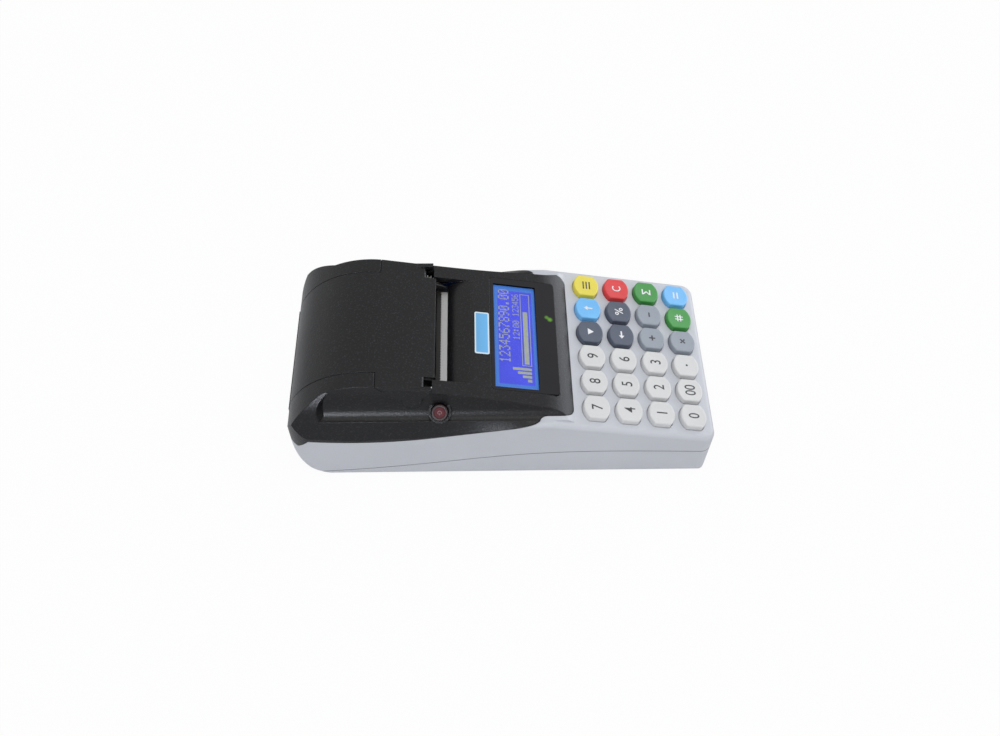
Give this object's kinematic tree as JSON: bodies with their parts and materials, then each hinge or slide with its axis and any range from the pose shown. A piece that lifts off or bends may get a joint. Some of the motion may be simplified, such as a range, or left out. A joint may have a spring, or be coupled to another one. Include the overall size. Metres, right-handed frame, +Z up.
{
  "type": "ticket register",
  "caption": "Portable ticket register with a sloping key deck, a display behind a dark window, and a receipt printer under a hinged lid.",
  "frame": {"origin": "on the table under the middle of the case", "axes": "+X to the user's right, +Y from the key deck to the printer, +Z up"},
  "size_m": [0.097, 0.208, 0.0655],
  "materials": {
    "case_grey": "fine moulded texture",
    "hood_black": "satin black, fine texture",
    "window_dark": "polished window",
    "display_blue": "lit display",
    "lamp_green": "clear lamp",
    "plate_blue": "printed plate, left bare",
    "bar_steel": "brushed",
    "frame_steel": "zinc plated",
    "button_red": "soft moulded",
    "inner_black": "plain",
    "paper_white": "thermal paper",
    "core_board": "wound board",
    "head_ceramic": "glazed",
    "platen_black": "ground",
    "gear_nylon": "nylon",
    "gear_brass": "cut",
    "board_green": "solder mask",
    "mat_grey": "silicone",
    "foot_rubber": "soft",
    "cell_wrap": "shrink wrap",
    "key_light": "satin",
    "key_mid": "satin",
    "key_dark": "satin",
    "key_yellow": "satin",
    "key_red": "satin",
    "key_green": "satin",
    "key_blue": "satin"
  },
  "bodies": {
    "case": {"bottom_tray": "case_grey", "main_case": "case_grey", "battery_door": "case_grey", "printer_hood": "hood_black", "display_lens": "window_dark", "lcd_module": "display_blue", "status_led": "lamp_green", "name_plate": "plate_blue", "tear_bar": "bar_steel", "power_switch": "inner_black", "hinge_pin": "bar_steel", "roll_tub": "inner_black", "print_head": "head_ceramic", "print_frame": "frame_steel", "stepper_motor": "bar_steel", "idler_stud": "bar_steel", "main_board": "board_green", "keypad_mat": "mat_grey", "memory_block": "inner_black", "buzzer": "inner_black", "power_inlet": "inner_black", "data_socket": "inner_black", "rubber_feet": "foot_rubber", "case_screws": "bar_steel", "battery_cells": "cell_wrap"},
    "lid": {"paper_lid": "hood_black", "platen_bushes": "gear_nylon"},
    "platen": {"platen_rubber": "platen_black", "platen_shaft": "bar_steel", "platen_gear": "gear_nylon"},
    "idler": {"idler_gear": "gear_nylon"},
    "pinion": {"motor_pinion": "gear_brass"},
    "roll": {"paper_roll": "paper_white", "roll_core": "core_board"},
    "power_button": {"power_button": "button_red"},
    "key_7": {"key_7": "key_light"},
    "key_8": {"key_8": "key_light"},
    "key_9": {"key_9": "key_light"},
    "key_credit": {"key_credit": "key_dark"},
    "key_up": {"key_up": "key_blue"},
    "key_mode": {"key_mode": "key_yellow"},
    "key_4": {"key_4": "key_light"},
    "key_5": {"key_5": "key_light"},
    "key_6": {"key_6": "key_light"},
    "key_return": {"key_return": "key_dark"},
    "key_percent": {"key_percent": "key_dark"},
    "key_clear": {"key_clear": "key_red"},
    "key_1": {"key_1": "key_light"},
    "key_2": {"key_2": "key_light"},
    "key_3": {"key_3": "key_light"},
    "key_plus": {"key_plus": "key_mid"},
    "key_minus": {"key_minus": "key_mid"},
    "key_subtotal": {"key_subtotal": "key_green"},
    "key_0": {"key_0": "key_light"},
    "key_00": {"key_00": "key_light"},
    "key_point": {"key_point": "key_light"},
    "key_times": {"key_times": "key_mid"},
    "key_code": {"key_code": "key_green"},
    "key_total": {"key_total": "key_blue"}
  },
  "joints": [
    {"name": "lid_hinge", "type": "hinge", "parent": "case", "child": "lid", "pos_m": [0, 0.1004, 0.03], "axis": [-1, 0, 0], "range_deg": [0, 85]},
    {"name": "platen_spin", "type": "hinge", "parent": "lid", "child": "platen", "pos_m": [0, 0.0372, 0.05], "axis": [1, 0, 0], "continuous": true},
    {"name": "idler_spin", "type": "hinge", "parent": "case", "child": "idler", "pos_m": [0.034, 0.03027, 0.038], "axis": [1, 0, 0], "continuous": true},
    {"name": "pinion_spin", "type": "hinge", "parent": "case", "child": "pinion", "pos_m": [0.034, 0.02136, 0.03128], "axis": [1, 0, 0], "continuous": true},
    {"name": "roll_spin", "type": "hinge", "parent": "case", "child": "roll", "pos_m": [0, 0.06452, 0.0268], "axis": [1, 0, 0], "continuous": true},
    {"name": "power_press", "type": "slide", "parent": "case", "child": "power_button", "axis": [0.6428, 0, -0.766], "range_m": [0, 0.0008], "stiffness_N_per_m": 900},
    {"name": "key_7_press", "type": "slide", "parent": "case", "child": "key_7", "axis": [0, 0.184, -0.9829], "range_m": [0, 0.0015], "stiffness_N_per_m": 450},
    {"name": "key_8_press", "type": "slide", "parent": "case", "child": "key_8", "axis": [0, 0.184, -0.9829], "range_m": [0, 0.0015], "stiffness_N_per_m": 450},
    {"name": "key_9_press", "type": "slide", "parent": "case", "child": "key_9", "axis": [0, 0.184, -0.9829], "range_m": [0, 0.0015], "stiffness_N_per_m": 450},
    {"name": "key_credit_press", "type": "slide", "parent": "case", "child": "key_credit", "axis": [0, 0.184, -0.9829], "range_m": [0, 0.0015], "stiffness_N_per_m": 450},
    {"name": "key_up_press", "type": "slide", "parent": "case", "child": "key_up", "axis": [0, 0.184, -0.9829], "range_m": [0, 0.0015], "stiffness_N_per_m": 450},
    {"name": "key_mode_press", "type": "slide", "parent": "case", "child": "key_mode", "axis": [0, 0.184, -0.9829], "range_m": [0, 0.0015], "stiffness_N_per_m": 450},
    {"name": "key_4_press", "type": "slide", "parent": "case", "child": "key_4", "axis": [0, 0.184, -0.9829], "range_m": [0, 0.0015], "stiffness_N_per_m": 450},
    {"name": "key_5_press", "type": "slide", "parent": "case", "child": "key_5", "axis": [0, 0.184, -0.9829], "range_m": [0, 0.0015], "stiffness_N_per_m": 450},
    {"name": "key_6_press", "type": "slide", "parent": "case", "child": "key_6", "axis": [0, 0.184, -0.9829], "range_m": [0, 0.0015], "stiffness_N_per_m": 450},
    {"name": "key_return_press", "type": "slide", "parent": "case", "child": "key_return", "axis": [0, 0.184, -0.9829], "range_m": [0, 0.0015], "stiffness_N_per_m": 450},
    {"name": "key_percent_press", "type": "slide", "parent": "case", "child": "key_percent", "axis": [0, 0.184, -0.9829], "range_m": [0, 0.0015], "stiffness_N_per_m": 450},
    {"name": "key_clear_press", "type": "slide", "parent": "case", "child": "key_clear", "axis": [0, 0.184, -0.9829], "range_m": [0, 0.0015], "stiffness_N_per_m": 450},
    {"name": "key_1_press", "type": "slide", "parent": "case", "child": "key_1", "axis": [0, 0.184, -0.9829], "range_m": [0, 0.0015], "stiffness_N_per_m": 450},
    {"name": "key_2_press", "type": "slide", "parent": "case", "child": "key_2", "axis": [0, 0.184, -0.9829], "range_m": [0, 0.0015], "stiffness_N_per_m": 450},
    {"name": "key_3_press", "type": "slide", "parent": "case", "child": "key_3", "axis": [0, 0.184, -0.9829], "range_m": [0, 0.0015], "stiffness_N_per_m": 450},
    {"name": "key_plus_press", "type": "slide", "parent": "case", "child": "key_plus", "axis": [0, 0.184, -0.9829], "range_m": [0, 0.0015], "stiffness_N_per_m": 450},
    {"name": "key_minus_press", "type": "slide", "parent": "case", "child": "key_minus", "axis": [0, 0.184, -0.9829], "range_m": [0, 0.0015], "stiffness_N_per_m": 450},
    {"name": "key_subtotal_press", "type": "slide", "parent": "case", "child": "key_subtotal", "axis": [0, 0.184, -0.9829], "range_m": [0, 0.0015], "stiffness_N_per_m": 450},
    {"name": "key_0_press", "type": "slide", "parent": "case", "child": "key_0", "axis": [0, 0.184, -0.9829], "range_m": [0, 0.0015], "stiffness_N_per_m": 450},
    {"name": "key_00_press", "type": "slide", "parent": "case", "child": "key_00", "axis": [0, 0.184, -0.9829], "range_m": [0, 0.0015], "stiffness_N_per_m": 450},
    {"name": "key_point_press", "type": "slide", "parent": "case", "child": "key_point", "axis": [0, 0.184, -0.9829], "range_m": [0, 0.0015], "stiffness_N_per_m": 450},
    {"name": "key_times_press", "type": "slide", "parent": "case", "child": "key_times", "axis": [0, 0.184, -0.9829], "range_m": [0, 0.0015], "stiffness_N_per_m": 450},
    {"name": "key_code_press", "type": "slide", "parent": "case", "child": "key_code", "axis": [0, 0.184, -0.9829], "range_m": [0, 0.0015], "stiffness_N_per_m": 450},
    {"name": "key_total_press", "type": "slide", "parent": "case", "child": "key_total", "axis": [0, 0.184, -0.9829], "range_m": [0, 0.0015], "stiffness_N_per_m": 450}
  ],
  "couplings": [
    {"joint": "idler_spin", "follows": "platen_spin", "ratio": -0.76923},
    {"joint": "pinion_spin", "follows": "platen_spin", "ratio": 1.8182}
  ]
}
